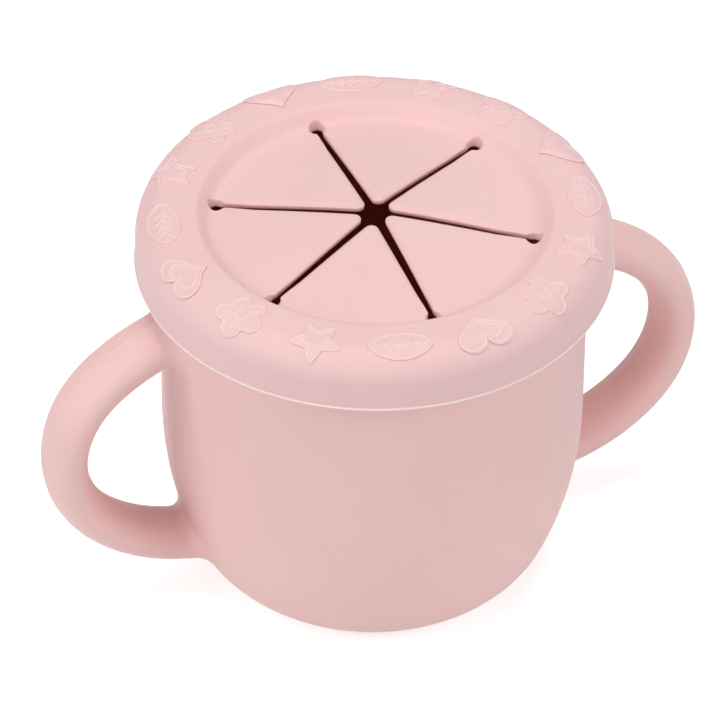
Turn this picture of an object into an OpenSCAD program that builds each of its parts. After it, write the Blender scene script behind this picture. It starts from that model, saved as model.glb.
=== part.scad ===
// Toddler snack container in soft silicone: a round cup moulded in one with two
// loop handles, and a stretch-on lid whose centre is cut into six springy flaps.
// Millimetres, +Z up. The origin is on the table under the middle of the cup,
// and the handles lie along X.

/* [Cup] */
// Outer diameter of the cup's straight side
cup_d = 85.3; // [76:0.1:96]
// Height of the cup's rim above the table
cup_h = 83.5; // [76:0.1:100]
// Thickness of the cup's side
cup_wall = 2.6; // [1.8:0.1:3.4]
// Thickness of the cup's floor
floor_t = 3.2; // [2:0.1:6]
// Diameter of the flat that the cup stands on
base_d = 47.6; // [40:0.1:54]
// Radius of the bend between the base and the side
corner_r = 14.5; // [10:0.1:18]
// Radius of the long curve that draws the side in towards the base
belly_r = 79; // [66:0.5:100]

/* [Rim] */
// How far the rolled rim stands out past the cup's side
rim_out = 2.15; // [1.2:0.05:3]
// Height of the rim's straight outer face, under its round top
rim_face_h = 1.4; // [0.6:0.1:3]
// Radius of the rim's inner edge
rim_inner_r = 1.2; // [0.4:0.1:1.6]

/* [Handles] */
// Height of the handle's middle where it leaves the side, at its upper end
handle_top_z = 66.9; // [63:0.1:68]
// Angle at which it leaves the side, below the horizontal
handle_lead_a = 17; // [8:1:26]
// Radius of the handle's upper bend
handle_top_r = 43; // [38:0.5:48]
// Angle of the upper bend
handle_top_a = 21; // [16:1:26]
// Radius of the handle's outer bend
handle_outer_r = 24.3; // [22:0.1:26]
// Angle of the outer bend
handle_outer_a = 98; // [92:1:104]
// Radius of the handle's lower bend
handle_low_r = 34.7; // [30:0.1:38]
// Angle of the lower bend
handle_low_a = 30; // [24:1:34]
// Thickness of the handle's oval section, in the plane of the loop
handle_t = 8.8; // [7:0.1:10]
// Width of the handle's oval section, across the loop
handle_w = 13.3; // [10:0.1:16]
// Radius of the fillet where the handle runs into the side
handle_fillet = 4.4; // [2:0.1:5]

/* [Lid] */
// Thickness of the lid's top and of its skirt
lid_wall = 2.4; // [1.8:0.1:3]
// Radius of the lid's shoulder, between its top and its skirt
shoulder_r = 6; // [4.5:0.1:7]
// Height of the skirt's straight side, under the shoulder
skirt_h = 6.3; // [5:0.1:7]
// Height of the parting bead above the skirt's lower edge
bead_up = 0.85; // [0.6:0.05:1.5]
// How far the parting bead stands out
bead_out = 0.15; // [0.05:0.05:0.3]
// Depth of the ring that plugs the cup's mouth, below the lid's top
plug_depth = 8.2; // [6.5:0.1:11]
// Thickness of the plug ring
plug_t = 2.8; // [2:0.1:3.6]

/* [Lid panel] */
// Depth of the recess from the lid's top to the edge of the panel
recess_depth = 3; // [2.6:0.1:3.6]
// Width of the lid's top between the recess and the shoulder
ring_w = 4.7; // [3.5:0.1:6]
// Radius of the edge that leads down into the recess
recess_edge_r = 3.2; // [2.8:0.1:4]
// Radius at the foot of the recess
recess_foot_r = 1.2; // [0.6:0.1:1.6]
// Thickness of the panel and its flaps
panel_t = 1.6; // [1.2:0.1:2.2]
// How far the panel rises from its edge to the middle
panel_rise = 2.1; // [0.5:0.1:3]
// Distance from the middle to the eye at the end of each slit
eye_at = 31.9; // [29:0.1:32.5]
// Diameter of the eye at the end of each slit
eye_d = 3.4; // [3:0.1:4.4]
// Width of a slit at its eye
slit_w_eye = 1.2; // [0.6:0.1:2]
// Width of a slit at the middle of the lid
slit_w_mid = 1.8; // [0.8:0.1:2.6]
// Radius of each flap's tip
flap_tip_r = 1.5; // [0.8:0.1:3]

/* [Fits] */
// Gap between the cup's rim and the lid's skirt and plug
grip_gap = 0.3; // [0.2:0.05:0.5]
// Gap between the top of the rim and the lid that rests on it
seat_gap = 0.1; // [0:0.05:0.3]
// Gap round the root of each flap
fold_gap = 0.12; // [0.08:0.01:0.2]

/* [Hidden] */
$fn = 96;
cup_colour = [0.90, 0.74, 0.72];
lid_colour = [0.95, 0.79, 0.79];
flaps = 6;
flap_a = 360 / flaps;
cut = 1;              // how far a cutter runs past what it cuts

// Cup
side_r = cup_d / 2;
mouth_r = side_r - cup_wall;
rim_r = side_r + rim_out;
rim_round = shoulder_r - lid_wall - grip_gap;
rim_low_z = cup_h - rim_round - rim_face_h;
corner_steps = 12;
belly_steps = 8;

// Lid
lid_r = rim_r + grip_gap + lid_wall;
lid_under_z = cup_h + seat_gap;
lid_top_z = lid_under_z + lid_wall;
shoulder_in = lid_r - shoulder_r;
crest_r = shoulder_in - ring_w;
skirt_low_z = lid_top_z - shoulder_r - skirt_h;
plug_r = mouth_r - grip_gap;
foot_z = lid_top_z - recess_depth;
// Steepest slope of the recess, where its two bends meet
recess_a = acos(1 - recess_depth / (recess_edge_r + recess_foot_r));
foot_r = crest_r - (recess_edge_r + recess_foot_r) * sin(recess_a);
apex_z = foot_z + panel_rise;

// Flaps fold along the straight lines between neighbouring eyes
fold_x = eye_at * cos(flap_a / 2);
fold_w = 2 * eye_at * sin(flap_a / 2);
fold_z = panel_z(fold_x) - panel_t / 2;
fold_sag = panel_z(fold_x) - panel_z(eye_at);
fold_r = panel_t / 2 + fold_sag + 0.12;

// Height of the panel's top at a distance from the middle
function panel_z(r) = apex_z - panel_rise * r / foot_r;

// Points along an arc, from angle a0 to a1, without its first point
function arc(c, r, a0, a1, n) = [for (i = [1:n]) c + r * [for (f = [0, 90])
    cos(a0 + (a1 - a0) * i / n - f)]];

// Angle at which the corner's bend hands over to the belly's curve
function side_a(side, belly, corner) = acos((belly - side + base_d / 2) / (belly - corner));
function belly_z(side, belly, corner, z0) =
    z0 + corner + (belly - corner) * sin(side_a(side, belly, corner));

// Outline of the cup's side from the middle of its floor up to its straight side
function cup_side(side, belly, corner, z0) =
    let (a = side_a(side, belly, corner))
    concat([[0, z0], [base_d / 2, z0]],
           arc([base_d / 2, z0 + corner], corner, -90, -a, corner_steps),
           arc([side - belly, belly_z(side, belly, corner, z0)], belly, -a, 0, belly_steps));

// Outer radius of the cup at a height
function cup_r(z) =
    let (bz = belly_z(side_r, belly_r, corner_r, 0),
         cz = corner_r * (1 - sin(side_a(side_r, belly_r, corner_r))))
    z >= bz ? side_r
    : z >= cz ? side_r - belly_r + sqrt(pow(belly_r, 2) - pow(bz - z, 2))
    : base_d / 2 + sqrt(pow(corner_r, 2) - pow(corner_r - max(z, 0), 2));

module cup_outside() {
    rotate_extrude()
        polygon(concat(cup_side(side_r, belly_r, corner_r, 0),
                       [[side_r, rim_low_z], [0, rim_low_z]]));
}

module cup_body() {
    inside = cup_side(mouth_r, belly_r - cup_wall, corner_r - cup_wall, floor_t);
    outside = cup_side(side_r, belly_r, corner_r, 0);
    color(cup_colour)
    rotate_extrude()
        polygon(concat(
            outside,
            [[side_r, rim_low_z - rim_out], [rim_r, rim_low_z], [rim_r, cup_h - rim_round]],
            arc([rim_r - rim_round, cup_h - rim_round], rim_round, 0, 90, 8),
            [[mouth_r + rim_inner_r, cup_h]],
            arc([mouth_r + rim_inner_r, cup_h - rim_inner_r], rim_inner_r, 90, 180, 5),
            [for (i = [len(inside) - 1:-1:0]) inside[i]]));
}

// A point on a bend that turns down from heading h through an angle t
function bend(p, h, r, t) = p + r * [sin(h) - sin(h - t), cos(h - t) - cos(h)];
function straight(p, h, d) = p + d * [cos(h), sin(h)];

// The middle line of a handle is three bends, with a straight run into the cup at both ends
start_p = [side_r, handle_top_z];
start_h = -handle_lead_a;
outer_p = bend(start_p, start_h, handle_top_r, handle_top_a);
outer_h = start_h - handle_top_a;
low_p = bend(outer_p, outer_h, handle_outer_r, handle_outer_a);
low_h = outer_h - handle_outer_a;
end_p = bend(low_p, low_h, handle_low_r, handle_low_a);
end_h = low_h - handle_low_a;
outer_s = handle_top_r * handle_top_a * PI / 180;
low_s = outer_s + handle_outer_r * handle_outer_a * PI / 180;
end_s = low_s + handle_low_r * handle_low_a * PI / 180;

// [x, z, heading] at a length s along the middle line from where it leaves the side
function on_bend(p, h, r, s) = let (t = s / r * 180 / PI) concat(bend(p, h, r, t), h - t);
function on_line(s) =
    s < 0 ? concat(straight(start_p, start_h, s), start_h)
    : s < outer_s ? on_bend(start_p, start_h, handle_top_r, s)
    : s < low_s ? on_bend(outer_p, outer_h, handle_outer_r, s - outer_s)
    : s < end_s ? on_bend(low_p, low_h, handle_low_r, s - low_s)
    : concat(straight(end_p, end_h, s - end_s), end_h);

// Distance of a point from the cup's side, outwards
function off_side(p) = norm([p[0], p[1]]) - cup_r(p[2]);

// Length along the line at which it reaches the side again, by halving
function side_s(a, b, n = 16) =
    let (m = (a + b) / 2, p = on_line(m))
    n == 0 ? m : p[0] > cup_r(p[1]) ? side_s(m, b, n - 1) : side_s(a, m, n - 1);
last_s = side_s(low_s, end_s + handle_fillet * 6);

// How far the skin swells at a distance from the side: a quarter round, cut
// a little before it would run level with the side
fillet_cut = 0.3;
function swell(d) = let (x = handle_fillet - max(d, 0) - fillet_cut)
    x <= 0 ? 0 : handle_fillet - sqrt(pow(handle_fillet, 2) - pow(x, 2));

// The swelling that suits the point it moves to, by halving
function settle(p, dir, a = 0, b = handle_fillet, n = 12) =
    let (m = (a + b) / 2)
    n == 0 ? m
    : swell(off_side(p + m * dir)) > m ? settle(p, dir, m, b, n - 1)
    : settle(p, dir, a, m, n - 1);

// One oval ring of the handle's skin, square to its middle line
oval_sides = 24;
function oval(c) = [for (i = [0:oval_sides - 1])
    let (a = 360 * i / oval_sides,
         up = handle_t / 2 * cos(a),
         p = [c[0] - up * sin(c[2]), handle_w / 2 * sin(a), c[1] + up * cos(c[2])],
         dir = [-cos(a) * sin(c[2]), sin(a), cos(a) * cos(c[2])])
    p + settle(p, dir) * dir];

// Rings stand close together at the two fillets and further apart between them
root_in = 4;
root_out = handle_fillet + 2.5;
root_steps = 18;
loop_steps = 24;
handle_s = concat(
    [for (i = [0:root_steps - 1]) -root_in + (root_in + root_out) * i / root_steps],
    [for (i = [0:loop_steps - 1]) root_out + (last_s - 2 * root_out) * i / loop_steps],
    [for (i = [0:root_steps]) last_s - root_out + (root_in + root_out) * i / root_steps]);

module handle_sweep() {
    rings = [for (d = handle_s) oval(on_line(d))];
    n = oval_sides;
    last = (len(rings) - 1) * n;
    polyhedron(
        points = [for (ring = rings) each ring],
        faces = concat(
            [[for (i = [n - 1:-1:0]) i]],
            [for (k = [0:len(rings) - 2], i = [0:n - 1]) each
                let (a = k * n + i, b = k * n + (i + 1) % n)
                [[a, b, a + n], [b, b + n, a + n]]],
            [[for (i = [0:n - 1]) last + i]]));
}

// The loop is cut where it meets the cup's outside
module handle(turn) {
    color(cup_colour)
    rotate([0, 0, turn])
    difference() {
        handle_sweep();
        cup_outside();
    }
}

module eyes() {
    for (i = [0:flaps - 1])
        rotate([0, 0, (i + 0.5) * flap_a])
            translate([eye_at, 0, foot_z - recess_depth - cut])
                cylinder(d = eye_d, h = 2 * recess_depth + 2 * cut);
}

// A round bar along a fold line, on the side of the +X flap
module fold_bar(r, w) {
    translate([fold_x, w / 2, fold_z]) rotate([90, 0, 0]) cylinder(r = r, h = w);
}

module lid_moulding() {
    inner_r = fold_x - fold_r - cut;
    skirt_r = lid_r - lid_wall;
    edge_r = 0.6;     // rounding of the skirt's lower edge
    band_in = 0.15;   // how far the band under the parting bead steps in
    lip = 1;          // chamfer that leads the rim in
    bead_z = skirt_low_z + bead_up;
    difference() {
        rotate_extrude()
            polygon(concat(
                [[inner_r, panel_z(inner_r) - panel_t], [inner_r, panel_z(inner_r)],
                 [foot_r, foot_z]],
                arc([foot_r, foot_z + recess_foot_r], recess_foot_r, -90, recess_a - 90, 5),
                arc([crest_r, lid_top_z - recess_edge_r], recess_edge_r, 90 + recess_a, 90, 8),
                [[shoulder_in, lid_top_z]],
                arc([shoulder_in, lid_top_z - shoulder_r], shoulder_r, 90, 0, 12),
                [[lid_r, bead_z + bead_out], [lid_r + bead_out, bead_z],
                 [lid_r - band_in, bead_z - bead_out], [lid_r - band_in, skirt_low_z + edge_r]],
                arc([lid_r - band_in - edge_r, skirt_low_z + edge_r], edge_r, 0, -90, 4),
                [[skirt_r + lip / 2, skirt_low_z], [skirt_r, skirt_low_z + lip],
                 [skirt_r, lid_top_z - shoulder_r]],
                arc([shoulder_in, lid_top_z - shoulder_r], shoulder_r - lid_wall, 0, 90, 8),
                [[plug_r, lid_under_z], [plug_r, lid_top_z - plug_depth + lip],
                 [plug_r - lip, lid_top_z - plug_depth],
                 [plug_r - plug_t + lip, lid_top_z - plug_depth],
                 [plug_r - plug_t, lid_top_z - plug_depth + lip],
                 [plug_r - plug_t, panel_z(foot_r) - panel_t],
                 [foot_r, panel_z(foot_r) - panel_t]]));
        // Opening of the flaps
        translate([0, 0, foot_z - recess_depth])
            rotate([0, 0, flap_a / 2])
                cylinder(r = eye_at, h = 3 * recess_depth, $fn = flaps);
        eyes();
    }
}

// The lid without its flaps, with a hollow along each fold for a flap's round root
module lid_ring() {
    color(lid_colour)
    difference() {
        lid_moulding();
        for (i = [0:flaps - 1])
            rotate([0, 0, i * flap_a]) fold_bar(fold_r + fold_gap, fold_w - eye_d / 4);
    }
}

// Plan of the +X flap: two straight sides that meet in a round tip
module flap_plan() {
    far = eye_at + cut;
    half_mid = slit_w_mid / 2;
    half_eye = slit_w_eye / 2;
    a = flap_a / 2;
    // A point of the slit's edge near the middle, and one level with its eye
    p = [half_mid * sin(a), -half_mid * cos(a)];
    q = [eye_at * cos(a) + half_eye * sin(a), eye_at * sin(a) - half_eye * cos(a)];
    edge_a = atan2(q[1] - p[1], q[0] - p[0]);
    point_x = p[0] - p[1] / tan(edge_a);
    tip_c = [point_x + flap_tip_r / sin(edge_a), 0];
    far_y = (far - point_x) * tan(edge_a);
    polygon(concat([[far, -far_y]], [tip_c + flap_tip_r * [-sin(edge_a), -cos(edge_a)]],
                   arc(tip_c, flap_tip_r, 270 - edge_a, 90 + edge_a, 10), [[far, far_y]]));
}

module lid_flap(i) {
    color(lid_colour)
    rotate([0, 0, (i - 1) * flap_a])
    difference() {
        intersection() {
            rotate_extrude()
                polygon([[0, apex_z - panel_t], [foot_r, foot_z - panel_t],
                         [foot_r, foot_z], [0, apex_z]]);
            translate([0, 0, foot_z - recess_depth])
                linear_extrude(3 * recess_depth) flap_plan();
            union() {
                translate([0, -fold_w, foot_z - recess_depth])
                    cube([fold_x, 2 * fold_w, 3 * recess_depth]);
                fold_bar(fold_r, fold_w);
            }
        }
        eyes();
    }
}

cup_body();
handle(180);  // handle_left
handle(0);  // handle_right
lid_ring();
lid_flap(1);  // lid_flap_1
lid_flap(2);  // lid_flap_2
lid_flap(3);  // lid_flap_3
lid_flap(4);  // lid_flap_4
lid_flap(5);  // lid_flap_5
lid_flap(6);  // lid_flap_6
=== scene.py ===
"""Toddler snack container in soft silicone.

The cup is moulded in one with its two loop handles. The stretch-on lid is a
ring whose recessed panel is cut by six slits into flaps, and it carries small
raised motifs. Shapes are worked out in millimetres, in the CAD model's frame.
"""
from math import acos, atan2, cos, degrees, exp, hypot, pi, radians, sin, sqrt, tan

import bmesh
import bpy
from mathutils import Matrix, Vector


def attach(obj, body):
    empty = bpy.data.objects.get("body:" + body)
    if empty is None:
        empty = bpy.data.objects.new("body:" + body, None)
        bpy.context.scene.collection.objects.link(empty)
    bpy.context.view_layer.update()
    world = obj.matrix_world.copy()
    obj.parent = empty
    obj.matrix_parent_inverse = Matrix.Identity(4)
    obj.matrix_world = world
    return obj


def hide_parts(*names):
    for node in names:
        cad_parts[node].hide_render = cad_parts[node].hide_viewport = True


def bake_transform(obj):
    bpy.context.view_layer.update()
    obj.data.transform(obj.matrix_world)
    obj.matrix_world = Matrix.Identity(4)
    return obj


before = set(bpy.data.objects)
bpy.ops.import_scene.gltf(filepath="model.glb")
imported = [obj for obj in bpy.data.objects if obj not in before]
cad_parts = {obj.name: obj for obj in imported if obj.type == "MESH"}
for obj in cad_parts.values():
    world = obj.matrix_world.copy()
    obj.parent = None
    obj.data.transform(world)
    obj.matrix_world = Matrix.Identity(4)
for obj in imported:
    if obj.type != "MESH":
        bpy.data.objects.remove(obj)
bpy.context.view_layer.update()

MM = 0.001

# The cup, in millimetres as every size below: its straight side, walls and height
SIDE_R = 42.65
WALL = 2.6
FLOOR_T = 3.2
CUP_H = 83.5
# The flat it stands on, the bend above it and the long curve up to the straight side
BASE_R = 23.8
CORNER_R = 14.5
BELLY_R = 79.0
# The rolled rim: hollow bend out, slope, lower bend, upright face and round top
RIM_UNDER_Z = 76.55
RIM_HOLLOW_R = 2.5
RIM_SLOPE = 45
RIM_LOW_R = 1.2
RIM_R = 44.8
RIM_FACE_Z = 80.2
RIM_ROUND = 3.3
RIM_INNER_R = 1.2
# Share of painted shade inside the cup, and the depth over which it sets in
INSIDE_SHADE = 0.6
INSIDE_SHADE_FADE = 4

# The handles: where they leave the side and how steeply, then radius and angle of
# each bend, and half the thickness and width of their oval section
TOP_Z = 66.9
LEAD_A = radians(17)
BENDS = ((43.0, radians(21)), (24.3, radians(98)), (34.7, radians(30)))
HALF_T = 4.4
HALF_W = 6.65
FILLET = 4.4
# The lower root's fillet under the loop, inside it and on its sides
LOW_FILLET = (0.9, 2.4, 3.4)
# Height of the parting line that the two mould halves leave
PARTING = 0.075

# The lid: skirt, top and shoulder
LID_R = 47.5
LID_WALL = 2.4
LID_TOP = 86.0
SHOULDER_R = 6.0
SHOULDER_IN = 41.5
# The recess: its crest, the round edge there, its sloping wall and the bend at its foot
CREST_R = 36.1
EDGE_R = 1.8
WALL_A = radians(48)
FOOT_ARC_R = 2.2
FOOT_Z = 83.1
WALL_L = (LID_TOP - FOOT_Z - (EDGE_R + FOOT_ARC_R) * (1 - cos(WALL_A))) / sin(WALL_A)
FOOT_R = CREST_R - (EDGE_R + FOOT_ARC_R) * sin(WALL_A) - WALL_L * cos(WALL_A)
# The panel, which rises towards its middle, and how strongly its slope is bowed
PANEL_T = 1.4
APEX_Z = 85.1
PANEL_BEND = 1.3
# Heights towards which the six flaps slope up, as they lie in the photograph
TIPS_Z = (86.5, 86.4, 85.8, 85.65, 85.1, 86.35)
# The skirt's lower edge, its rounding outside and inside, and the parting bead above
# it, as places out from the skirt and heights
SKIRT_LOW = 73.7
SKIRT_ROUND = 0.4
SKIRT_IN_ROUND = 0.35
BEAD = ((0, 74.92), (0.08, 74.86), (0.21, 74.76), (0.28, 74.62), (0.22, 74.48),
        (0.04, 74.40), (-0.14, 74.35), (-0.18, 74.22))
# The lid's underside and the plug ring that stands in the cup's mouth, with the
# rounding of its lower edge and of the corners above it, outside and inside
UNDER_Z = 83.6
PLUG_R = 39.75
PLUG_T = 2.8
PLUG_LOW = 77.8
PLUG_ROUND = 0.9
PLUG_OUT_CORNER = 0.5
PLUG_IN_CORNER = 0.6

# The eyes, half the slits' width at an eye and near the middle, and the flaps' tips
EYE_AT = 31.9
EYE_R = 1.7
SLIT_EYE = 0.64
SLIT_MID = 0.81
TIP_R = 1.5
# Rounding of a flap's edge along its slit, round its eye and underneath
SLIT_ROUND = 1.1
EYE_ROUND = 0.35
LOW_ROUND = 0.3
# How much an eye narrows towards its foot, and over how many steps this sets in
EYE_TAPER = 0.55
TAPER_STEPS = 6
# The small round corner between a slit and an eye
JOIN_R = 0.45
# The line that a flap bends along
FOLD_X = EYE_AT * cos(radians(30))
# The panel's sectors meet the ring where the recess's wall is steep
SEAM_GAP = 0.05
SEAM_R = EYE_AT + EYE_R + EYE_ROUND + SEAM_GAP
SEAM_STRIP = 0.01
# Steps across a sector and along each stretch of a flap's side
SECTOR_STEPS = 24
TIP_STEPS = 7
SLIT_STEPS = 20
JOIN_STEPS = 5
EYE_STEPS = 16
# Rows on the recess's wall beyond its foot's bend, and the rows of a sector that
# turn from straight across to round the middle
WALL_ROWS = (33.5, 33.72, 33.84)
TURNING_ROWS = 28
# A cut edge's slope at its top: share of the rounding inwards, and down
CUT_SLOPE = ((0.88, 0.015), (0.72, 0.06), (0.45, 0.165), (0.18, 0.29), (0.05, 0.38),
             (0.0, 0.50))
# Painted highlight and painted shade down a cut edge and down an eye's wall, from the
# panel's top to its foot
PAINTED_LIGHT_CUT = (0.0, 0.0, 0.0, 0.05, 0.3, 0.15, 0.0, 0.0, 0.0, 0.0, 0.0, 0.0)
PAINTED_SHADE_CUT = (0.0, 0.04, 0.08, 0.10, 0.08, 0.15, 0.3, 0.35, 0.5, 0.8, 1.0, 1.0)
PAINTED_LIGHT_EYE = (0.0, 0.05, 0.1, 0.15, 0.2, 0.2, 0.2, 0.2, 0.2, 0.1, 0.0, 0.0)
PAINTED_SHADE_EYE = (0.0, 0.0, 0.0, 0.05, 0.12, 0.15, 0.15, 0.15, 0.2, 0.3, 0.4, 0.5)


# Materials

def linear(code, alpha=1.0):
    """Linear colour of an sRGB hex code."""
    parts = [int(code[i:i + 2], 16) / 255 for i in (1, 3, 5)]
    return [c / 12.92 if c <= 0.04045 else ((c + 0.055) / 1.055) ** 2.4
            for c in parts] + [alpha]


def add_node(tree, kind, values=None, links=(), **settings):
    """A node with its settings, its inputs' values and the links into them."""
    node = tree.nodes.new(kind)
    for name, value in settings.items():
        setattr(node, name, value)
    for name, value in (values or {}).items():
        node.inputs[name].default_value = value
    for name, socket in dict(links).items():
        tree.links.new(socket, node.inputs[name])
    return node


def moulded_silicone(name, deep, pale):
    """Compression-moulded silicone rubber, Shore 40 to 60 A.

    It is opaque and dyed through, and its matte skin copies a fine-blasted
    mould: broad soft highlights, no sharp reflections and a faint bloom.
    """
    material = bpy.data.materials.new(name)
    material.use_nodes = True
    tree = material.node_tree
    tree.nodes.clear()
    place = add_node(tree, "ShaderNodeTexCoord")
    # Slow drift of the dye, some 30 mm across
    drift = add_node(tree, "ShaderNodeTexNoise",
                     {"Scale": 1 / 0.030, "Detail": 2.0, "Roughness": 0.5},
                     {"Vector": place.outputs["Object"]})
    colour = add_node(tree, "ShaderNodeValToRGB", links={"Fac": drift.outputs["Fac"]})
    colour.color_ramp.elements[0].position = 0.3
    colour.color_ramp.elements[0].color = linear(deep)
    colour.color_ramp.elements[1].position = 0.7
    colour.color_ramp.elements[1].color = linear(pale)
    # Painted highlight and light, paler on the cut edges, eyes' walls, bead and motif
    # crests
    painted_light_marks = add_node(tree, "ShaderNodeAttribute", attribute_name="painted_light")
    with_painted_light = add_node(tree, "ShaderNodeMixRGB", {"Color2": linear("#FFEDEA")},
                    {"Fac": painted_light_marks.outputs["Fac"], "Color1": colour.outputs["Color"]})
    # Painted shade, a deeper red inside the cup and towards the foot of the cut faces
    painted_shade = add_node(tree, "ShaderNodeAttribute", attribute_name="painted_shade")
    skin = add_node(tree, "ShaderNodeMixRGB", {"Color2": linear("#EE7268")},
                    {"Fac": painted_shade.outputs["Fac"], "Color1": with_painted_light.outputs["Color"]})
    # Patches a little more rubbed than the rest, some 8 mm across
    rubbed = add_node(tree, "ShaderNodeTexNoise",
                      {"Scale": 1 / 0.008, "Detail": 3.0, "Roughness": 0.6},
                      {"Vector": place.outputs["Object"]})
    rough = add_node(tree, "ShaderNodeMapRange",
                     {"From Min": 0.3, "From Max": 0.7, "To Min": 0.50, "To Max": 0.60},
                     {"Value": rubbed.outputs["Fac"]})
    # The blasted grain is 0.05 mm on the real one and 0.35 mm here, so that it shows
    grain = add_node(tree, "ShaderNodeTexNoise",
                     {"Scale": 1 / 0.00035, "Detail": 1.0, "Roughness": 0.5},
                     {"Vector": place.outputs["Object"]})
    bump = add_node(tree, "ShaderNodeBump",
                    {"Strength": 0.12, "Distance": 0.00002},
                    {"Height": grain.outputs["Fac"]})
    shader = add_node(tree, "ShaderNodeBsdfPrincipled",
                      {"IOR": 1.41, "Metallic": 0.0, "Sheen Weight": 0.12,
                       "Sheen Roughness": 0.5},
                      {"Base Color": skin.outputs["Color"],
                       "Roughness": rough.outputs["Result"],
                       "Normal": bump.outputs["Normal"]})
    add_node(tree, "ShaderNodeOutputMaterial",
             links={"Surface": shader.outputs["BSDF"]})
    return material


CUP_SILICONE = moulded_silicone("cup_moulded_silicone", "#F3C7C4", "#F5CAC7")
LID_SILICONE = moulded_silicone("lid_moulded_silicone", "#F0C6C6", "#F2C9C9")


# Tools for meshes

def outwards(mesh):
    """Turns a closed mesh's faces outwards."""
    work = bmesh.new()
    work.from_mesh(mesh)
    bmesh.ops.recalc_face_normals(work, faces=work.faces)
    work.to_mesh(mesh)
    work.free()


def new_piece(name, points, faces, material):
    """A piece from points in millimetres, closed by its faces."""
    mesh = bpy.data.meshes.new(name)
    mesh.from_pydata([Vector(p) * MM for p in points], [], faces)
    return dress(name, mesh, material)


def dress(name, mesh, material):
    """A piece in the scene from a closed mesh, smooth but for its sharp edges."""
    outwards(mesh)
    for face in mesh.polygons:
        face.use_smooth = True
    mesh.set_sharp_from_angle(angle=radians(50))
    mesh.materials.clear()
    mesh.materials.append(material)
    piece = bpy.data.objects.new(name, mesh)
    bpy.context.scene.collection.objects.link(piece)
    return piece


def arc(cx, cz, r, start, end, steps, first=True):
    """Points (r, z) along an arc, from one angle in degrees to another."""
    turns = range(0 if first else 1, steps + 1)
    return [(cx + r * cos(radians(start + (end - start) * i / steps)),
             cz + r * sin(radians(start + (end - start) * i / steps))) for i in turns]


def strip(a, b, closed=True):
    """Faces between two rows of as many points."""
    n = len(a)
    return [(a[i], a[(i + 1) % n], b[(i + 1) % n], b[i])
            for i in range(n if closed else n - 1)]


# The cup and its handles

BELLY_A = acos((BELLY_R - SIDE_R + BASE_R) / (BELLY_R - CORNER_R))
BELLY_Z = CORNER_R + (BELLY_R - CORNER_R) * sin(BELLY_A)
CORNER_L = CORNER_R * (pi / 2 - BELLY_A)
BELLY_L = BELLY_R * BELLY_A


def side(t, inset=0.0):
    """Point (r, z) at a length t up the cup's side, from the edge of its base."""
    if t < CORNER_L:
        a, r = t / CORNER_R, CORNER_R - inset
        return BASE_R + r * sin(a), CORNER_R - r * cos(a)
    if t < CORNER_L + BELLY_L:
        a, r = BELLY_A - (t - CORNER_L) / BELLY_R, BELLY_R - inset
        return SIDE_R - BELLY_R + r * cos(a), BELLY_Z - r * sin(a)
    return SIDE_R - inset, BELLY_Z + t - CORNER_L - BELLY_L


def from_side(r, z):
    """The length up the side nearest to a point, and the distance out from it."""
    if z >= BELLY_Z:
        return CORNER_L + BELLY_L + z - BELLY_Z, r - SIDE_R
    x = r - SIDE_R + BELLY_R
    a = atan2(BELLY_Z - z, x)
    if a <= BELLY_A:
        return CORNER_L + (BELLY_A - a) * BELLY_R, hypot(x, BELLY_Z - z) - BELLY_R
    a = atan2(r - BASE_R, CORNER_R - z)
    return a * CORNER_R, hypot(r - BASE_R, CORNER_R - z) - CORNER_R


def middle_line():
    """Starts of the handle's bends: point, heading, length so far."""
    x, z, h, s = SIDE_R, TOP_Z, -LEAD_A, 0.0
    marks = [(x, z, h, s)]
    for r, a in BENDS:
        x, z = x + r * (sin(h) - sin(h - a)), z + r * (cos(h - a) - cos(h))
        h, s = h - a, s + r * a
        marks.append((x, z, h, s))
    return marks


MARKS = middle_line()
LINE_END = MARKS[-1][3]


def on_line(s):
    """Point (x, z) and heading at a length s along the handle's middle line."""
    for (x, z, h, start), (r, _), (_, _, _, end) in zip(MARKS, BENDS, MARKS[1:]):
        if s < 0:
            break
        if s < end:
            a = (s - start) / r
            return x + r * (sin(h) - sin(h - a)), z + r * (cos(h - a) - cos(h)), h - a
    x, z, h, start = MARKS[0] if s < 0 else MARKS[-1]
    return x + (s - start) * cos(h), z + (s - start) * sin(h), h


def on_skin(s, turn, off):
    """A point off the handle's oval skin, turn being 0 on the loop's outside."""
    x, z, h = on_line(s)
    up, y = HALF_T * cos(turn), HALF_W * sin(turn)
    nu, ny = cos(turn) / HALF_T, sin(turn) / HALF_W
    scale = off / hypot(nu, ny)
    up, y = up + nu * scale, y + ny * scale
    return x - up * sin(h), y, z + up * cos(h)


def reach_side(turn, off, gap, inner, outer):
    """The skin's point at a gap from the cup's side, by halving."""
    for _ in range(40):
        s = (inner + outer) / 2
        x, y, z = on_skin(s, turn, off)
        if from_side(hypot(x, y), z)[1] < gap:
            inner = s
        else:
            outer = s
    return s


def fillet(upper, turn):
    """Radius of a root's fillet at a turn round the oval."""
    if upper:
        return FILLET
    under, inside, beside = LOW_FILLET
    end = under if cos(turn) > 0 else inside
    return end + (beside - end) * sin(turn) ** 4


# Rows of the cup's side beside a root, and between the two roots
ROOT_ROWS = 14
BETWEEN_ROWS = 12
# Turns round the oval, close together at the parting line
EIGHTH = [0, 0.9, 1.9, 3.4, 8, 14, 21, 29, 37, 45]
HALF_TURN = (EIGHTH + [45 + 90 * i / ROOT_ROWS for i in range(1, ROOT_ROWS)]
             + [180 - a for a in reversed(EIGHTH)])
TURNS = [radians(a) for a in HALF_TURN + [360 - a for a in HALF_TURN[-2:0:-1]]]
# Share of the parting line's height, by columns away from its middle
RIDGE = {0: 1.0, 1: 0.85, 2: 0.1}
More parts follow.
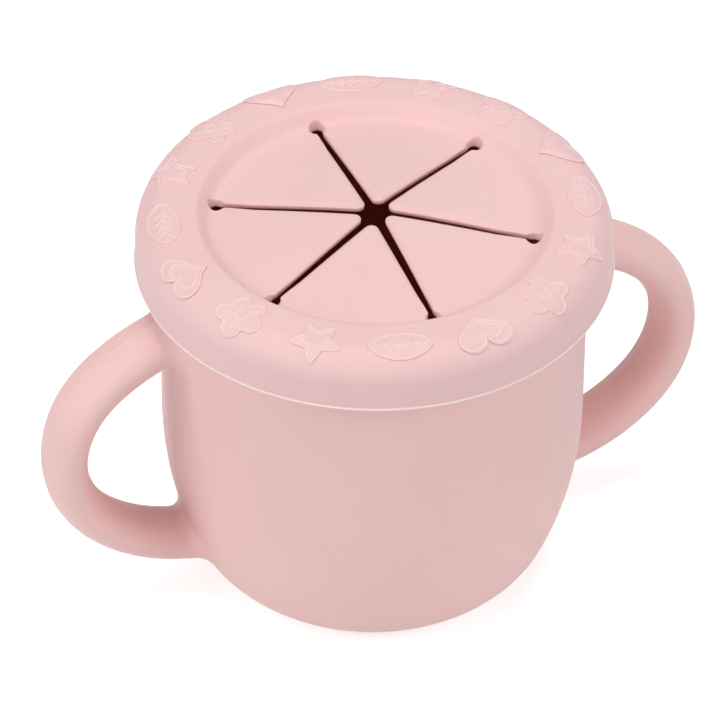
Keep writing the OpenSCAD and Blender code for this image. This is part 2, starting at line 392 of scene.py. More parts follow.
# Columns of the cup's side, close together at the parting line, in degrees
ROOT_HALF = [0, 0.20, 0.426, 0.762, 4.0, 7.2, 11.0, 15.0, 18.6, 22.0]
FREE_STEPS = 52
HALF_ROUND = ([-a for a in reversed(ROOT_HALF)] + ROOT_HALF[1:]
              + [22 + 136 * i / FREE_STEPS for i in range(1, FREE_STEPS)])
COLUMNS = [radians(a + turn) for turn in (0, 180) for a in HALF_ROUND]
ROOT_COLS = 2 * (len(ROOT_HALF) - 1)
# Lengths up the side between which the lower and the upper root stand, the upper
# one to just under the rolled rim
LOW_ROOT = (6.3, 34.6)
TOP_ROOT = (63.6, RIM_UNDER_Z - BELLY_Z + CORNER_L + BELLY_L - 0.06)
FILLET_STEPS = 10
LOOP_STEPS = 44
SPREAD_STEPS = 5


def steps_between(a, b, n):
    """Even steps from a to b, both included."""
    return [a + (b - a) * i / n for i in range(n + 1)]


def cup_rows():
    """Rows (r, z) of the cup's skin, from under its base round to its floor.

    Also gives the row at which the lower root starts.
    """
    below = steps_between(0.0, LOW_ROOT[0], 3)[:-1]
    lengths = (below + steps_between(*LOW_ROOT, ROOT_ROWS)
               + steps_between(LOW_ROOT[1], TOP_ROOT[0], BETWEEN_ROWS)[1:-1]
               + steps_between(*TOP_ROOT, ROOT_ROWS))
    rows = [(r, 0.0) for r in (6.0, 13.0, 19.0, 22.5)]
    first = len(rows) + len(below)
    rows += [side(t) for t in lengths]
    rows += arc(SIDE_R + RIM_HOLLOW_R, RIM_UNDER_Z, RIM_HOLLOW_R, 180, 180 - RIM_SLOPE, 4)
    rows += arc(RIM_R - RIM_LOW_R, RIM_FACE_Z - 0.2, RIM_LOW_R, RIM_SLOPE - 90, 0, 4)
    rows += arc(RIM_R - RIM_ROUND, CUP_H - RIM_ROUND, RIM_ROUND, 0, 90, 9)
    inner = SIDE_R - WALL
    rows += arc(inner + RIM_INNER_R, CUP_H - RIM_INNER_R, RIM_INNER_R, 90, 180, 5)
    # Down the inside, which comes round to the thicker floor
    rows += [side(t, WALL) for t in steps_between(TOP_ROOT[1], CORNER_L + BELLY_L, 14)]
    rows += [side(t, WALL) for t in steps_between(CORNER_L + BELLY_L, CORNER_L, 10)[1:]]
    drop = FLOOR_T - WALL
    rows += [(r, z + drop * (1 - t / CORNER_L)) for t in steps_between(CORNER_L, 0, 8)[1:]
             for r, z in [side(t, WALL)]]
    rows += [(r, FLOOR_T) for r in (18.0, 12.0, 6.0)]
    return rows, first


def cup_mesh():
    """Cup and handles as one skin, with a true fillet round each handle's root.

    Also gives the points that the parting line raises, with their share of its height.
    """
    rows, low = cup_rows()
    top = low + ROOT_ROWS + BETWEEN_ROWS
    points, faces, raised = [], [], {}
    grid, n = {}, len(COLUMNS)

    def put(p, ridge=0.0):
        """Adds a point with its share of the parting line, and gives its index."""
        points.append(p)
        if ridge:
            raised[len(points) - 1] = ridge
        return len(points) - 1

    def ridge_at(k):
        """Share of the parting line's height at a column, 0 away from it."""
        return max(RIDGE.get(abs((k - mid + n // 2) % n - n // 2), 0.0)
                   for mid in (ROOT_COLS // 2, n // 2 + ROOT_COLS // 2))

    def wall(i, k):
        """Index of the point at a row and a column of the cup's own skin."""
        k %= n
        if (i, k) not in grid:
            r, z = rows[i]
            # The parting line starts above the base and ends under the rim
            fade = min(1.0, max(0.0, (z - 1.0) / 4)) if i <= top + ROOT_ROWS + 4 else 0.0
            grid[i, k] = put((r * cos(COLUMNS[k]), r * sin(COLUMNS[k]), z),
                             ridge_at(k) * fade)
        return grid[i, k]

    def in_root(i, k):
        """Whether a root takes the place of the face above a row and a column."""
        return (k % (n // 2) < ROOT_COLS
                and (low <= i < low + ROOT_ROWS or top <= i < top + ROOT_ROWS))

    for i in range(len(rows) - 1):
        for k in range(n):
            if not in_root(i, k):
                faces.append((wall(i, k), wall(i, k + 1),
                              wall(i + 1, k + 1), wall(i + 1, k)))
    for i, z in ((0, 0.0), (len(rows) - 1, FLOOR_T)):
        middle = put((0.0, 0.0, z))
        faces += [(middle, wall(i, k), wall(i, k + 1)) for k in range(n)]

    def border(first, k0, upper):
        """Grid points round a root, in the order of TURNS."""
        mid, far, last = k0 + ROOT_COLS // 2, k0 + ROOT_COLS, first + ROOT_ROWS
        near, end = (last, first) if upper else (first, last)
        step = -1 if upper else 1
        return ([(near, k) for k in range(mid, far)]
                + [(i, far) for i in range(near, end, step)]
                + [(end, k) for k in range(far, k0, -1)]
                + [(i, k0) for i in range(end, near, -step)]
                + [(near, k) for k in range(k0, mid)])

    ridge = [max(RIDGE.get(min(i, len(TURNS) - i), 0.0),
                 RIDGE.get(abs(i - len(TURNS) // 2), 0.0)) for i in range(len(TURNS))]

    def root(upper):
        """Rings of one fillet, from the cup's side to the plain loop, as lengths."""
        # Lengths inside the cup and well outside it, between which the side is met
        inner, outer = (-8.0, 14.0) if upper else (LINE_END + 16.0, LINE_END - 10.0)
        rings = []
        for j in range(FILLET_STEPS + 1):
            a = pi / 2 * (1 - j / FILLET_STEPS)
            ring = []
            for t in TURNS:
                r = fillet(upper, t)
                off, gap = r * (1 - cos(a)), r * (1 - sin(a))
                ring.append((reach_side(t, off, gap, inner, outer), off))
            rings.append(ring)
        return rings

    top_root, low_root = root(True), root(False)
    loop = [[(a[0] + (b[0] - a[0]) * j / LOOP_STEPS, 0.0)
             for a, b in zip(top_root[-1], low_root[-1])] for j in range(1, LOOP_STEPS)]
    skin = [[on_skin(s, t, off) for (s, off), t in zip(ring, TURNS)]
            for ring in top_root + loop + low_root[::-1]]

    def spread(ring, edge):
        """Rings on the cup's side between a fillet's foot and the grid round it."""
        foot = [(atan2(y, x), from_side(hypot(x, y), z)[0]) for x, y, z in ring]
        rim = [(COLUMNS[k % n] if k % n < n // 2 else 0.0,
                from_side(*rows[i])[0]) for i, k in edge]
        rings = []
        for j in range(1, SPREAD_STEPS):
            w = j / SPREAD_STEPS
            row = []
            for (a0, t0), (a1, t1) in zip(foot, rim):
                a, t = a0 + (a1 - a0) * w, t0 + (t1 - t0) * w
                r, z = side(t)
                row.append((r * cos(a), r * sin(a), z))
            rings.append(row)
        return rings

    top_edge, low_edge = border(top, 0, True), border(low, 0, False)
    skin = spread(skin[0], top_edge)[::-1] + skin + spread(skin[-1], low_edge)
    for half in (0, 1):
        sign = 1 - 2 * half
        rings = [[wall(i, k + half * n // 2) for i, k in top_edge]]
        rings += [[put((sign * x, sign * y, z), up) for (x, y, z), up in zip(ring, ridge)]
                  for ring in skin]
        rings.append([wall(i, k + half * n // 2) for i, k in low_edge])
        for a, b in zip(rings, rings[1:]):
            faces += strip(a, b)
    return points, faces, raised


def make_cup():
    """The cup with its handles, which one shot of silicone fills."""
    points, faces, raised = cup_mesh()
    cup = new_piece("cup_with_handles", points, faces, CUP_SILICONE)
    normals = [v.normal.copy() for v in cup.data.vertices]
    for i, share in raised.items():
        cup.data.vertices[i].co += normals[i] * PARTING * share * MM
    # Painted shade inside the cup, setting in below the rim's face
    inside = {}
    for v in cup.data.vertices:
        r, z = hypot(v.co.x, v.co.y) / MM, v.co.z / MM
        if z > FLOOR_T - 0.05 and (r < BASE_R - 1 or from_side(r, z)[1] < -WALL + 0.1):
            inside[v.index] = INSIDE_SHADE * min(1.0, max(0.0, (RIM_FACE_Z - z) / INSIDE_SHADE_FADE))
    mark(cup.data, "painted_shade", inside)
    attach(cup, "cup")
    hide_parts("cup_body", "handle_left", "handle_right")


# The lid

def lid_z(r, tip=APEX_Z):
    """Height of the lid's top at a distance from its middle."""
    if r < FOOT_R:
        return tip - (tip - FOOT_Z) * (r / FOOT_R) ** PANEL_BEND
    foot_end, wall_end = FOOT_R + FOOT_ARC_R * sin(WALL_A), CREST_R - EDGE_R * sin(WALL_A)
    if r < foot_end:
        return FOOT_Z + FOOT_ARC_R - sqrt(FOOT_ARC_R ** 2 - (r - FOOT_R) ** 2)
    if r < wall_end:
        return FOOT_Z + FOOT_ARC_R * (1 - cos(WALL_A)) + (r - foot_end) * tan(WALL_A)
    if r < CREST_R:
        return LID_TOP - EDGE_R + sqrt(EDGE_R ** 2 - (CREST_R - r) ** 2)
    if r < SHOULDER_IN:
        return LID_TOP
    return LID_TOP - SHOULDER_R + sqrt(max(SHOULDER_R ** 2 - (r - SHOULDER_IN) ** 2, 0))


def panel_under(r, tip=APEX_Z):
    """Height of the panel's underside, which runs on level under the recess's wall."""
    return lid_z(min(r, FOOT_R), tip) - PANEL_T


def rim_profile():
    """Closed outline (r, z) of the lid outside the seam with its panel."""
    skirt = LID_R - LID_WALL
    plug_in = PLUG_R - PLUG_T
    seam_low = panel_under(SEAM_R)
    return ([(SEAM_R, lid_z(SEAM_R)), (SEAM_R + SEAM_STRIP, lid_z(SEAM_R + SEAM_STRIP))]
            + arc(CREST_R, LID_TOP - EDGE_R, EDGE_R, 90 + degrees(WALL_A), 90, 11)
            + [(38.0, LID_TOP), (40.0, LID_TOP)]
            + arc(SHOULDER_IN, LID_TOP - SHOULDER_R, SHOULDER_R, 90, 0, 18)
            + [(LID_R, 77.5), (LID_R, 75.4)]
            + [(LID_R + out, z) for out, z in BEAD]
            + arc(LID_R - 0.55, SKIRT_LOW + SKIRT_ROUND, SKIRT_ROUND, 0, -90, 5)
            + arc(skirt + 0.7, SKIRT_LOW + SKIRT_IN_ROUND, SKIRT_IN_ROUND, -90, -150, 3)
            + [(skirt, SKIRT_LOW + 1.1), (skirt, 76.5), (skirt, LID_TOP - SHOULDER_R)]
            + arc(SHOULDER_IN, LID_TOP - SHOULDER_R, SHOULDER_R - LID_WALL, 0, 90, 9,
                  first=False)
            + arc(PLUG_R + PLUG_OUT_CORNER, UNDER_Z - PLUG_OUT_CORNER, PLUG_OUT_CORNER,
                  90, 180, 3)
            + [(PLUG_R, 80.5)]
            + arc(PLUG_R - PLUG_ROUND, PLUG_LOW + PLUG_ROUND, PLUG_ROUND, 0, -90, 5)
            + arc(plug_in + PLUG_ROUND, PLUG_LOW + PLUG_ROUND, PLUG_ROUND, -90, -180, 5)
            + [(plug_in, 80.0)]
            + arc(plug_in - PLUG_IN_CORNER, seam_low - PLUG_IN_CORNER, PLUG_IN_CORNER,
                  0, 90, 4)
            + [(SEAM_R + SEAM_STRIP, seam_low), (SEAM_R, seam_low)])


def node_tree(name, inputs):
    """An empty Geometry Nodes tree with named number and material inputs."""
    tree = bpy.data.node_groups.new(name, "GeometryNodeTree")
    face = tree.interface
    face.new_socket("Geometry", in_out="INPUT", socket_type="NodeSocketGeometry")
    for label, kind in inputs.items():
        face.new_socket(label, in_out="INPUT", socket_type=kind)
    face.new_socket("Geometry", in_out="OUTPUT", socket_type="NodeSocketGeometry")
    return tree, tree.nodes.new("NodeGroupInput"), tree.nodes.new("NodeGroupOutput")


def sweep_tree():
    """Sweeps the object's own outline round a circle."""
    tree, given, out = node_tree("profile_swept_round", {
        "Radius": "NodeSocketFloat", "Steps": "NodeSocketInt",
        "Material": "NodeSocketMaterial"})
    outline = add_node(tree, "GeometryNodeMeshToCurve",
                       links={"Mesh": given.outputs["Geometry"]})
    circle = add_node(tree, "GeometryNodeCurvePrimitiveCircle",
                      links={"Radius": given.outputs["Radius"],
                             "Resolution": given.outputs["Steps"]})
    swept = add_node(tree, "GeometryNodeCurveToMesh",
                     links={"Curve": circle.outputs["Curve"],
                            "Profile Curve": outline.outputs["Curve"]})
    real = add_node(tree, "GeometryNodeRealizeInstances",
                    links={"Geometry": swept.outputs["Mesh"]})
    finish = add_node(tree, "GeometryNodeSetMaterial",
                      links={"Geometry": real.outputs["Geometry"],
                             "Material": given.outputs["Material"]})
    tree.links.new(finish.outputs["Geometry"], out.inputs[0])
    return tree


def round_tree():
    """Sets copies of the object's own mesh evenly round the Z axis."""
    tree, given, out = node_tree("copies_round_the_lid", {
        "Count": "NodeSocketInt", "Step angle": "NodeSocketFloat",
        "First angle": "NodeSocketFloat", "Material": "NodeSocketMaterial"})
    spots = add_node(tree, "GeometryNodeMeshLine", {"Offset": (0.0, 0.0, 0.0)},
                     {"Count": given.outputs["Count"]})
    index = add_node(tree, "GeometryNodeInputIndex")
    turn = add_node(tree, "ShaderNodeMath", operation="MULTIPLY_ADD",
                    links={0: index.outputs[0], 1: given.outputs["Step angle"],
                           2: given.outputs["First angle"]})
    angles = add_node(tree, "ShaderNodeCombineXYZ", links={"Z": turn.outputs[0]})
    copies = add_node(tree, "GeometryNodeInstanceOnPoints",
                      links={"Points": spots.outputs["Mesh"],
                             "Instance": given.outputs["Geometry"],
                             "Rotation": angles.outputs["Vector"]})
    real = add_node(tree, "GeometryNodeRealizeInstances",
                    links={"Geometry": copies.outputs["Instances"]})
    finish = add_node(tree, "GeometryNodeSetMaterial",
                      links={"Geometry": real.outputs["Geometry"],
                             "Material": given.outputs["Material"]})
    tree.links.new(finish.outputs["Geometry"], out.inputs[0])
    return tree


def grown(name, mesh, tree, values):
    """The plain mesh that a Geometry Nodes tree makes from a mesh."""
    seed = bpy.data.objects.new(name + "_seed", mesh)
    bpy.context.scene.collection.objects.link(seed)
    modifier = seed.modifiers.new(name, "NODES")
    modifier.node_group = tree
    for item in tree.interface.items_tree:
        if item.in_out == "INPUT" and item.name in values:
            modifier[item.identifier] = values[item.name]
    seen = seed.evaluated_get(bpy.context.evaluated_depsgraph_get())
    result = bpy.data.meshes.new_from_object(seen)
    result.name = name
    seed.modifiers.clear()
    bpy.data.objects.remove(seed)
    return result


def mark_seam(mesh, at_seam):
    """Keeps the shading of a hidden end face out of the skin beside it."""
    for edge in mesh.edges:
        if all(at_seam(mesh.vertices[i].co / MM) for i in edge.vertices):
            edge.use_edge_sharp = True


def mark(mesh, name, shares):
    """Gives points of a mesh their share of a finish that its material reads."""
    marks = mesh.attributes.new(name, "FLOAT", "POINT")
    for i, share in shares.items():
        marks.data[i].value = share


def make_rim():
    """The lid outside its panel, an outline swept round by Geometry Nodes."""
    profile = rim_profile()
    count = len(profile)
    circle_r = 40.0
    outline = bpy.data.meshes.new("lid_rim_outline")
    # A swept outline's own Y points down
    outline.from_pydata([((r - circle_r) * MM, -z * MM, 0.0) for r, z in profile],
                        [(i, (i + 1) % count) for i in range(count)], [])
    mesh = grown("lid_rim", outline, sweep_tree(), {
        "Radius": circle_r * MM, "Steps": 6 * SECTOR_STEPS, "Material": LID_SILICONE})
    rim = dress("lid_rim", mesh, LID_SILICONE)
    mark_seam(mesh, lambda p: hypot(p.x, p.y) < SEAM_R + SEAM_STRIP / 2)
    # Painted highlight along the bead where the mould's halves met, and a weaker one along
    # the trimmed edge
    shares = {}
    for v in mesh.vertices:
        r, z = hypot(v.co.x, v.co.y) / MM, v.co.z / MM
        if r > LID_R + 0.1:
            shares[v.index] = 1.0
        elif z < SKIRT_LOW + 0.25 and r > LID_R - 0.6:
            shares[v.index] = 0.6
    mark(mesh, "painted_light", shares)
    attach(rim, "lid")
    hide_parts("lid_ring")


def flap_side():
    """Outline of a flap's +Y side from its tip to the mitre beyond the eye.

    Each point is (x, y, nx, ny, rounding), with its direction into the flap. Also
    gives the point from which the outline stands on circles round the middle.
    """
    mid = radians(30)
    p = (SLIT_MID * sin(mid), -SLIT_MID * cos(mid))
    q = (FOLD_X + SLIT_EYE * sin(mid), EYE_AT * sin(mid) - SLIT_EYE * cos(mid))
    a = atan2(q[1] - p[1], q[0] - p[0])
    d, n = (cos(a), sin(a)), (sin(a), -cos(a))
    point_x = p[0] - p[1] / (d[1] / d[0])
    tip_x = point_x + TIP_R / sin(a)
    out = []
    for i in range(TIP_STEPS + 1):
        t = (pi / 2 - a) * i / TIP_STEPS
        out.append((tip_x - TIP_R * cos(t), TIP_R * sin(t), cos(t), -sin(t), SLIT_ROUND))
    eye = (EYE_AT * cos(mid), EYE_AT * sin(mid))
    along = sqrt((EYE_R + JOIN_R) ** 2 - (SLIT_EYE + JOIN_R) ** 2)
    join = (eye[0] + (SLIT_EYE + JOIN_R) * n[0] - along * d[0],
            eye[1] + (SLIT_EYE + JOIN_R) * n[1] - along * d[1])
    start, end = out[-1][:2], (join[0] - JOIN_R * n[0], join[1] - JOIN_R * n[1])
    # The edge's rounding eases off over the last quarter of the slit
    for i in range(1, SLIT_STEPS + 1):
        w = i / (SLIT_STEPS + 1)
        ease = min(1.0, max(0.0, (w - 0.75) / 0.22))
        rounding = SLIT_ROUND + (EYE_ROUND - SLIT_ROUND) * ease * ease * (3 - 2 * ease)
        out.append((start[0] + (end[0] - start[0]) * w, start[1] + (end[1] - start[1]) * w,
                    *n, rounding))
    # Small round corner between the slit and the eye
    back = atan2(eye[1] - join[1], eye[0] - join[0])
    first = atan2(-n[1], -n[0])
    sweep = (back - first + pi) % (2 * pi) - pi
    for i in range(JOIN_STEPS + 1):
        t = first + sweep * i / JOIN_STEPS
        out.append((join[0] + JOIN_R * cos(t), join[1] + JOIN_R * sin(t),
                    -cos(t), -sin(t), EYE_ROUND))
    # Round the eye: even steps first, then where the recess's foot needs its rows
    r2 = EYE_R + EYE_ROUND
    turn = (mid - (back + pi)) % (2 * pi)
    circles = [FOOT_R + FOOT_ARC_R * sin(radians(9 * k)) for k in range(6)]
    circles += [*WALL_ROWS, SEAM_R - SEAM_GAP - 0.0001]
    late = [acos(min(1.0, (r * r - EYE_AT ** 2 - r2 ** 2) / (2 * EYE_AT * r2)))
            for r in circles] + [0.0]
    early = [turn + (late[0] - turn) * i / EYE_STEPS for i in range(1, EYE_STEPS)]
    for t in early + late:
        c, s = cos(mid - t), sin(mid - t)
        out.append((eye[0] + EYE_R * c, eye[1] + EYE_R * s, c, s, EYE_ROUND))
    return out, len(out) - len(late)


def sector_mesh(apex):
    """The +X sector of the panel: a flap, its fold and the foot of the recess.

    Also gives the share of painted light and of painted shade of the points on its cut
    edges.
    """
    line, circles_from = flap_side()
    count, n = len(line), SECTOR_STEPS
    fold_from = count - TURNING_ROWS
    points, faces = [], []

    def put(x, y, z):
        """Adds a point and gives its index."""
        points.append((x, y, z))
        return len(points) - 1

    def inset(i, share=1.0):
        """A place on the outline moved in by a share of its rounding."""
        x, y, nx, ny, rounding = line[i]
        return x + nx * rounding * share, y + ny * rounding * share

    def row_points(i):
        """A row from the -Y side to the +Y side, at the inset outline."""
        x, y = inset(i)
        r_side, a_side = hypot(x, y), atan2(y, x)
        blend = min(1.0, max(0.0, (i - fold_from) / (circles_from - fold_from)))
        r_mid = x + (r_side - x) * blend * blend * (3 - 2 * blend)
        span = 1 / cos(a_side) - 1
        row = []
        for k in range(n + 1):
            a = a_side * (2 * k / n - 1)
            g = (1 / cos(a) - 1) / span
            r = r_mid + (r_side - r_mid) * g
            row.append((r * cos(a), r * sin(a)))
        return row

    def circle_row(r):
        """A row at one distance from the middle, from mitre to mitre."""
        return [(r * cos(radians(30) * (2 * k / n - 1)),
                 r * sin(radians(30) * (2 * k / n - 1))) for k in range(n + 1)]

    plan = [row_points(i) for i in range(1, count)]
    plan += [circle_row(SEAM_R - SEAM_STRIP), circle_row(SEAM_R)]
    tip = inset(0)
    layers = []
    for height in (lid_z, panel_under):
        pole = put(*tip, height(tip[0], apex))
        rows = [[put(x, y, height(hypot(x, y), apex)) for x, y in row] for row in plan]
        faces.extend((pole, rows[0][k], rows[0][k + 1]) for k in range(n))
        for a, b in zip(rows, rows[1:]):
            faces.extend(strip(a, b, closed=False))
        layers.append((pole, rows))
    (top_pole, top), (low_pole, low) = layers
    painted_light_marks, painted_shade = {}, {}

    def column(i, y_sign):
        """Points down the edge at one place: sloped, upright, and round at its foot."""
        found, rounding = [], line[i][4]
        for share, drop in CUT_SLOPE:
            x, y = inset(i, share)
            found.append(put(x, y * y_sign, lid_z(hypot(x, y), apex) - drop * rounding))
        low_round = min(LOW_ROUND, 0.7 * rounding)
        past = i - circles_from + EYE_STEPS
        taper = EYE_TAPER * min(1.0, max(0.0, past / TAPER_STEPS))
        for a in range(0, 91, 18):
            x, y = inset(i, (low_round * (1 - cos(radians(a))) - taper) / rounding)
            lift = low_round * (1 - sin(radians(a)))
            found.append(put(x, y * y_sign, panel_under(hypot(x, y), apex) + lift))
        # Painted light near the top of the cut edge or eye's wall, painted shade towards
        # its foot
        at_eye = past > 0
        painted_light_marks.update(zip(found, PAINTED_LIGHT_EYE if at_eye else PAINTED_LIGHT_CUT))
        painted_shade.update(zip(found, PAINTED_SHADE_EYE if at_eye else PAINTED_SHADE_CUT))
        return found

    tip_column = [top_pole] + column(0, 1) + [low_pole]
    ends = []
    for y_sign, k in ((-1, 0), (1, n)):
        last = tip_column
        for i in range(1, count):
            here = [top[i - 1][k]] + column(i, y_sign) + [low[i - 1][k]]
            faces.extend(strip(last, here, closed=False))
            last = here
        ends.append(last + [low[-2][k], low[-1][k], top[-1][k], top[-2][k]])
    faces.extend(ends)
    faces.extend(strip(top[-1], low[-1], closed=False))
    return points, faces, painted_light_marks, painted_shade


def make_sectors():
    """The panel's six sectors, each a flap reaching out to where it meets the ring."""
    mitre = Vector((-sin(radians(30)), cos(radians(30)), 0))
    for i in range(6):
        turn = radians(60 * i)
        points, faces, painted_light_marks, painted_shade = sector_mesh(TIPS_Z[i])
        sector = new_piece(f"panel_sector_{i + 1}", points, faces, LID_SILICONE)
        # Painted light and painted shade on the cut edges
        mark(sector.data, "painted_light", painted_light_marks)
        mark(sector.data, "painted_shade", painted_shade)

        def at_seam(p):
            r = hypot(p.x, p.y)
            on_mitre = abs(Vector((p.x, abs(p.y), 0)).dot(mitre)) < 1e-3
            return r > SEAM_R - SEAM_STRIP / 2 or (on_mitre and r > EYE_AT + EYE_R - 0.01)

        mark_seam(sector.data, at_seam)
        sector.data.transform(Matrix.Rotation(turn, 4, "Z"))
        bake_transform(sector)
        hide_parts(f"lid_flap_{i + 1}")


# Motifs on the ring round the panel: where they stand, how much larger than their
# outlines below, and how high their flat is raised
MOTIF_AT = 42.0
MOTIF_SIZE = 1.2
MOTIF_UP = 0.16
# The ridges that draw them: height above the flat, distance in from the edge, half
# their width, and the share of painted highlight on their crests
RIDGE_UP = 0.17
RIDGE_IN = 0.28
RIDGE_HALF = 0.20
MOTIF_HIGHLIGHT = 0.3
MOTIF_POINTS = 144
MOTIF_RINGS = 36
# Steps of a motif's outer edge: how far in, how high above the ring
MOTIF_EDGE = ((0.0, -0.3), (0.0, 0.12), (0.03, 0.19), (0.14, 0.264))


def on_ring(along, out, up):
    """A place on the ring's skin: along it, outwards from its middle, and up."""
    turn, s = along / MOTIF_AT, MOTIF_AT + out
    tilt = max(0.0, s - SHOULDER_IN) / SHOULDER_R
    r = min(s, SHOULDER_IN) + (SHOULDER_R + up) * sin(tilt)
    return (r * cos(turn), r * sin(turn),
            LID_TOP - SHOULDER_R + (SHOULDER_R + up) * cos(tilt))


def heart(t):
    """Outline of a heart, its lobes outwards."""
    x, y = 16 * sin(t) ** 3, 13 * cos(t) - 5 * cos(2 * t) - 2 * cos(3 * t) - cos(4 * t)
    return -0.285 * x, 0.255 * (y + 2.5)


def flower(t):
    """Outline of a flower of five petals."""
    r = 2.6 + 1.9 * abs(cos(2.5 * t)) ** 0.6
    return r * sin(t), r * cos(t)


def star(t):
    """Outline of a star of five points."""
    part = (t * 5 / pi) % 2
    tip = abs(part - 1)
    r = 2.35 / (1 - 0.51 * tip)
    return r * sin(t), r * cos(t)


def leaf(t):
    """Outline of a leaf, pointed at both ends."""
    return 5.5 * sin(t), 2.9 * cos(t) * abs(cos(t)) ** 0.35


def line_gap(lines, x, y):
    """Distance from a place to the nearest of some straight lines, 9 without any."""
    gaps = [9.0]
    for x0, y0, x1, y1 in lines:
        dx, dy = x1 - x0, y1 - y0
        w = min(1.0, max(0.0, ((x - x0) * dx + (y - y0) * dy) / (dx * dx + dy * dy)))
        gaps.append(hypot(x - x0 - w * dx, y - y0 - w * dy))
    return min(gaps)


def motif_mesh(name, outline, passes, inner, lines):
    """One raised motif with ridges round it and in it, closed under the ring's skin.

    The outline is smoothed in a number of passes. inner is the share of it that a
    ridge repeats, 0 for none, and lines are further ridges.
    """
    flat = [outline(-2 * pi * i / MOTIF_POINTS) for i in range(MOTIF_POINTS)]
    for _ in range(passes):
        flat = [((a[0] + 2 * b[0] + c[0]) / 4, (a[1] + 2 * b[1] + c[1]) / 4)
                for a, b, c in zip(flat[-1:] + flat[:-1], flat, flat[1:] + flat[:1])]
    flat = [(MOTIF_SIZE * x, MOTIF_SIZE * y) for x, y in flat]
    lines = [[MOTIF_SIZE * c for c in line] for line in lines]
    inward = []
    for a, b in zip(flat[-1:] + flat[:-1], flat[1:] + flat[:1]):
        dx, dy = b[0] - a[0], b[1] - a[1]
        inward.append((-dy / hypot(dx, dy), dx / hypot(dx, dy)))

    def ridge(x, y):
        """Share of a ridge's height at a place, 1 on its crest."""
        edge = min(hypot(x - p, y - q) for p, q in flat)
        gap = min(abs(edge - RIDGE_IN), line_gap(lines, x, y))
        if inner:
            echo = min(hypot(x - p * inner, y - q * inner) for p, q in flat)
            gap = min(gap, echo)
        return exp(-(gap / RIDGE_HALF) ** 2)

    rings = [[(x + nx * d, y + ny * d, up, (up - MOTIF_UP) / RIDGE_UP)
              for (x, y), (nx, ny) in zip(flat, inward)] for d, up in MOTIF_EDGE]
    edge = rings[-1]
    for k in range(1, MOTIF_RINGS):
        share = 1 - k / MOTIF_RINGS
        ring = []
        for x, y, _, _ in edge:
            crest = ridge(x * share, y * share)
            ring.append((x * share, y * share, MOTIF_UP + RIDGE_UP * crest, crest))
        rings.append(ring)
    crest = ridge(0.0, 0.0)
    places = [p for ring in rings for p in ring]
    places += [(0.0, 0.0, MOTIF_EDGE[0][1], 0.0),
               (0.0, 0.0, MOTIF_UP + RIDGE_UP * crest, crest)]
    n = MOTIF_POINTS
    faces = [(k * n + i, k * n + (i + 1) % n, (k + 1) * n + (i + 1) % n, (k + 1) * n + i)
             for k in range(len(rings) - 1) for i in range(n)]
    last, under, middle = (len(rings) - 1) * n, len(rings) * n, len(rings) * n + 1
    faces += [(under, (i + 1) % n, i) for i in range(n)]
    faces += [(middle, last + i, last + (i + 1) % n) for i in range(n)]
    mesh = bpy.data.meshes.new(name)
    mesh.from_pydata([Vector(on_ring(*p[:3])) * MM for p in places], [], faces)
    # Painted highlight along the ridges' crests
    mark(mesh, "painted_light", {i: MOTIF_HIGHLIGHT * max(0.0, p[3]) for i, p in enumerate(places)})
    return mesh


def make_motifs():
    """Four kinds of motif by turns, all the way round the ring."""
    petals = [(1.9 * sin(a), 1.9 * cos(a), 3.1 * sin(a), 3.1 * cos(a))
              for a in (radians(72 * i) for i in range(5))]
    disc = [(1.0 * sin(a), 1.0 * cos(a), 1.0 * sin(b), 1.0 * cos(b))
            for a, b in ((radians(30 * i), radians(30 * i + 30)) for i in range(12))]
    veins = [(-4.2, 0, 4.4, 0)]
    veins += [(x, 0, x + 1.2, y * 1.25) for x in (-2.6, -0.9, 0.8, 2.3) for y in (-1, 1)]
    kinds = (("ring_hearts", heart, 3, 0.62, []),
             ("ring_flowers", flower, 6, 0, petals + disc),
             ("ring_stars", star, 8, 0.60, []),
             ("ring_leaves", leaf, 5, 0, veins))
    tree = round_tree()
    for i, (name, outline, passes, inner, lines) in enumerate(kinds):
        mesh = grown(name, motif_mesh(name, outline, passes, inner, lines), tree, {
            "Count": 4, "Step angle": pi / 2, "First angle": radians(22.5 * i + 8),
            "Material": LID_SILICONE})
        motifs = dress(name, mesh, LID_SILICONE)
        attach(motifs, "lid")


# Floor, light and camera

# How much the paper is lifted to white, and the tent's own light on the cup, where
# a strength of 1 is white
PAPER_LIFT = 0.575
TENT_LEVEL = 0.05
# Name, place and size in metres, and power in watts, of each round softbox
LAMPS = (("overhead_softbox", (0, 0, 1.4), 0.9, 8.6),
         ("high_left_softbox", (-1.1, 0.0, 1.1), 0.9, 5.3),
         ("right_front_softbox", (1.0, -0.9, 0.9), 0.8, 6.0),
         ("left_front_softbox", (-1.0, -0.9, 0.9), 0.8, 3.4),
         ("back_right_softbox", (0.9, 0.9, 0.9), 0.8, 3.2),
         ("left_fill", (-1.3, 0.1, 0.45), 0.7, 2.3),
         ("front_fill", (-0.3, -1.3, 0.35), 0.7, 2.0),
         ("low_right_fill", (1.0, -1.1, 0.3), 0.6, 0.75))
# What they face: the middle of the cup
LAMPS_FACE = Vector((0, 0, 0.05))


def shown_rays(tree):
    """1 on rays from the camera, from reflections and through glass, 0 on others."""
    ray = add_node(tree, "ShaderNodeLightPath")
    shown = ray.outputs["Is Camera Ray"]
    for kind in ("Is Glossy Ray", "Is Transmission Ray"):
        either = add_node(tree, "ShaderNodeMath",
                          links={0: shown, 1: ray.outputs[kind]}, operation="MAXIMUM")
        shown = either.outputs[0]
    return shown


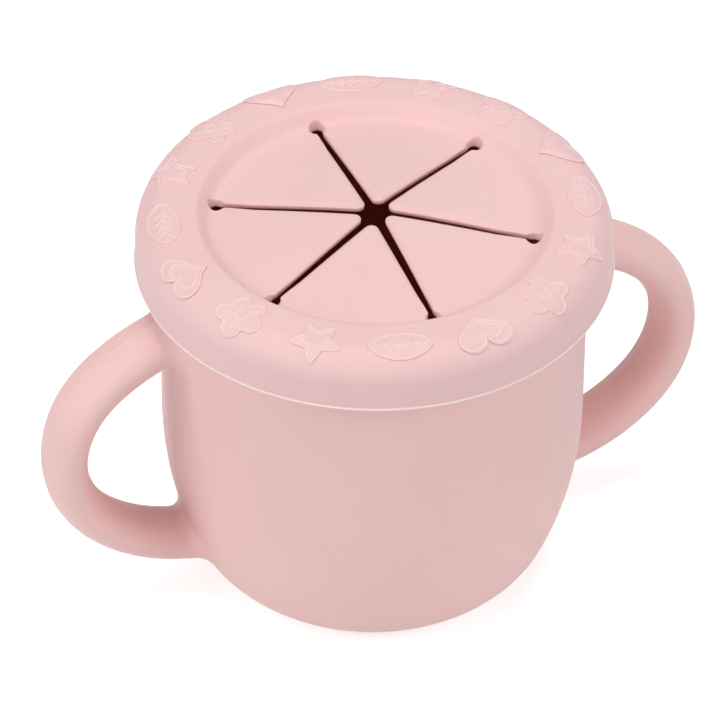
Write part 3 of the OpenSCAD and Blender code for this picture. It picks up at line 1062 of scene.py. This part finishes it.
def make_stage():
    """A wide floor of white paper."""
    floor = bpy.data.meshes.new("floor")
    half = 3.0
    floor.from_pydata([(-half, -half, 0), (half, -half, 0), (half, half, 0),
                       (-half, half, 0)], [], [(0, 1, 2, 3)])
    ground = bpy.data.objects.new("floor", floor)
    bpy.context.scene.collection.objects.link(ground)
    paper = bpy.data.materials.new("white_paper_sweep")
    paper.use_nodes = True
    tree = paper.node_tree
    tree.nodes.clear()
    # Matt white paper, lifted to white where it is looked at or reflected
    matt = add_node(tree, "ShaderNodeBsdfDiffuse", {"Color": linear("#EFF4F4")})
    lift = add_node(tree, "ShaderNodeMath", {1: PAPER_LIFT}, {0: shown_rays(tree)},
                    operation="MULTIPLY")
    glow = add_node(tree, "ShaderNodeEmission", {"Color": linear("#FFFFFF")},
                    {"Strength": lift.outputs[0]})
    both = add_node(tree, "ShaderNodeAddShader",
                    links={0: matt.outputs[0], 1: glow.outputs[0]})
    add_node(tree, "ShaderNodeOutputMaterial", links={"Surface": both.outputs[0]})
    floor.materials.append(paper)


def make_world():
    """A white tent, which lights the cup only a little but shows in its reflections."""
    world = bpy.data.worlds.new("light_tent")
    bpy.context.scene.world = world
    world.use_nodes = True
    tree = world.node_tree
    tree.nodes.clear()
    level = add_node(tree, "ShaderNodeMapRange", {"To Min": TENT_LEVEL, "To Max": 1.0},
                     {"Value": shown_rays(tree)})
    light = add_node(tree, "ShaderNodeBackground", {"Color": linear("#FFFFFF")},
                     {"Strength": level.outputs["Result"]})
    add_node(tree, "ShaderNodeOutputWorld", links={"Surface": light.outputs[0]})


def make_lamps():
    """Round softboxes that face the cup."""
    for name, place, size, power in LAMPS:
        lamp = bpy.data.lights.new(name, "AREA")
        lamp.shape = "DISK"
        lamp.size = size
        lamp.energy = power
        obj = bpy.data.objects.new(name, lamp)
        obj.location = place
        way = LAMPS_FACE - Vector(place)
        obj.rotation_euler = way.to_track_quat("-Z", "Y").to_euler()
        bpy.context.scene.collection.objects.link(obj)


def make_camera():
    """The photograph's view, from a fit of the cup's and lid's outlines to it."""
    camera = bpy.data.cameras.new("camera")
    camera.sensor_width = 36.0
    camera.lens = 307.27
    camera.clip_start = 0.1
    camera.clip_end = 20.0
    obj = bpy.data.objects.new("camera", camera)
    obj.location = (-0.35362, -0.88237, 0.84144)
    obj.rotation_euler = [radians(a) for a in (50.1228, -0.5664, -21.2108)]
    bpy.context.scene.collection.objects.link(obj)
    bpy.context.scene.camera = obj


make_camera()
make_cup()
make_rim()
make_sectors()
make_motifs()
make_stage()
make_world()
make_lamps()
bpy.context.scene.view_settings.view_transform = "Standard"
